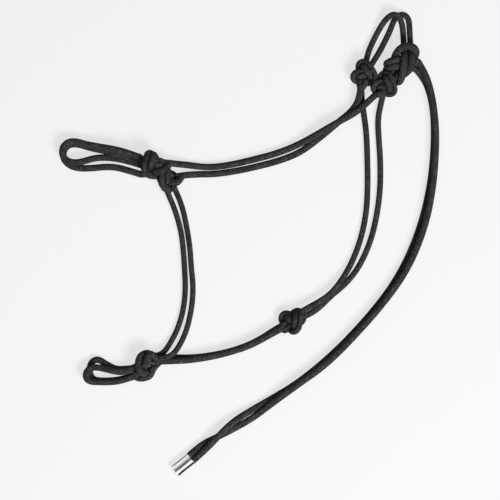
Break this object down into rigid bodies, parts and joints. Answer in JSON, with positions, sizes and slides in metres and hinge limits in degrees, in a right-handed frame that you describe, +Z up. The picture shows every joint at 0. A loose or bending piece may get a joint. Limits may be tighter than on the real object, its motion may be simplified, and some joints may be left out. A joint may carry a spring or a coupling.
{
  "type": "rope halter",
  "caption": "Knotted rope halter for a horse, lying flat: noseband, cheeks, throat loop, chin knot with lead loop, crown tie and long tail ending in a pressed metal ferrule.",
  "frame": {"origin": "on the ground plane, under the middle of the outline of the halter as it lies flat", "axes": "+Z up from the ground the halter lies on, +Y from the ferrule towards the crown, +X from the noseband towards the throat loop"},
  "size_m": [0.4365, 0.5353, 0.0302],
  "materials": {
    "halter_rope": "matt braided polyester cord",
    "knot_rope": "matt braided polyester cord, tightly knotted",
    "ferrule_metal": "bright pressed metal",
    "cut_rope": "heat-sealed cord ends"
  },
  "bodies": {
    "halter": {"near_nose_knot": "knot_rope", "far_nose_knot": "knot_rope", "near_cheek_strand": "halter_rope", "far_cheek_strand": "halter_rope", "near_chin_strand": "halter_rope", "far_chin_strand": "halter_rope", "chin_knot": "knot_rope", "jaw_strand_upper": "halter_rope", "jaw_strand_lower": "halter_rope", "throat_knot": "knot_rope", "near_throat_strand": "halter_rope", "far_throat_strand": "halter_rope", "near_crown_knot": "knot_rope", "far_crown_knot": "knot_rope", "crown_strand_left": "halter_rope", "crown_strand_right": "halter_rope", "crown_tie": "knot_rope", "tie_loop": "halter_rope"},
    "noseband": {"noseband_front_strand": "halter_rope", "noseband_back_strand": "halter_rope"},
    "lead_loop": {"lead_loop_upper_strand": "halter_rope", "lead_loop_lower_strand": "halter_rope"},
    "tail": {"tail_strand_outer": "halter_rope", "tail_strand_inner": "halter_rope", "ferrule": "ferrule_metal", "rope_ends": "cut_rope"}
  },
  "joints": [
    {"name": "noseband_lift", "type": "hinge", "parent": "halter", "child": "noseband", "pos_m": [-0.1245, 0.0945, 0.019], "axis": [0, 1, 0], "range_deg": [0, 70]},
    {"name": "lead_loop_lift", "type": "hinge", "parent": "halter", "child": "lead_loop", "pos_m": [-0.1335, -0.147, 0.013], "axis": [0, 1, 0], "range_deg": [0, 80]},
    {"name": "tail_swing", "type": "hinge", "parent": "halter", "child": "tail", "pos_m": [0.1935, 0.208, 0.011], "axis": [0, 0, 1], "range_deg": [-5, 40]}
  ]
}
